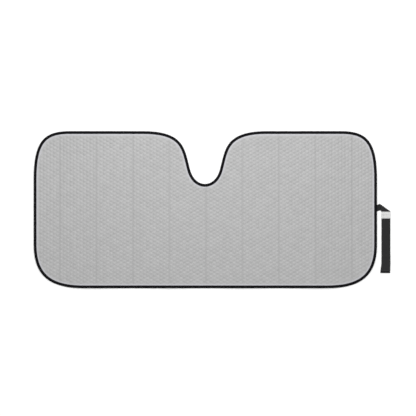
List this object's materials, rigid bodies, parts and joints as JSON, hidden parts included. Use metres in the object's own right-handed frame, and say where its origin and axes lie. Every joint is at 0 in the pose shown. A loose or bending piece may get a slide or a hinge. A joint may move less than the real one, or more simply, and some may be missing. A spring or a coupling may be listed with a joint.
{
  "type": "windscreen sunshade",
  "caption": "Flat folding bubble foil sunshade with a mirror notch, taped edge, concertina folds and a closing strap.",
  "frame": {"origin": "under the middle of the whole object's box, strap included, on the surface that it lies on", "axes": "+X along the shade towards the strap, +Y towards the mirror notch, +Z out of the face that looks up"},
  "size_m": [1.351, 0.595, 0.0069],
  "materials": {
    "foil": "matt aluminised bubble film",
    "tape": "black woven edge tape",
    "webbing": "black ribbed strap",
    "hook": "pale hook tape",
    "loop": "black loop pile"
  },
  "bodies": {
    "root": {"foil_sheet": "foil", "edge_tape": "tape", "strap": "webbing", "hook_patch": "hook", "loop_patch": "loop"}
  },
  "joints": []
}
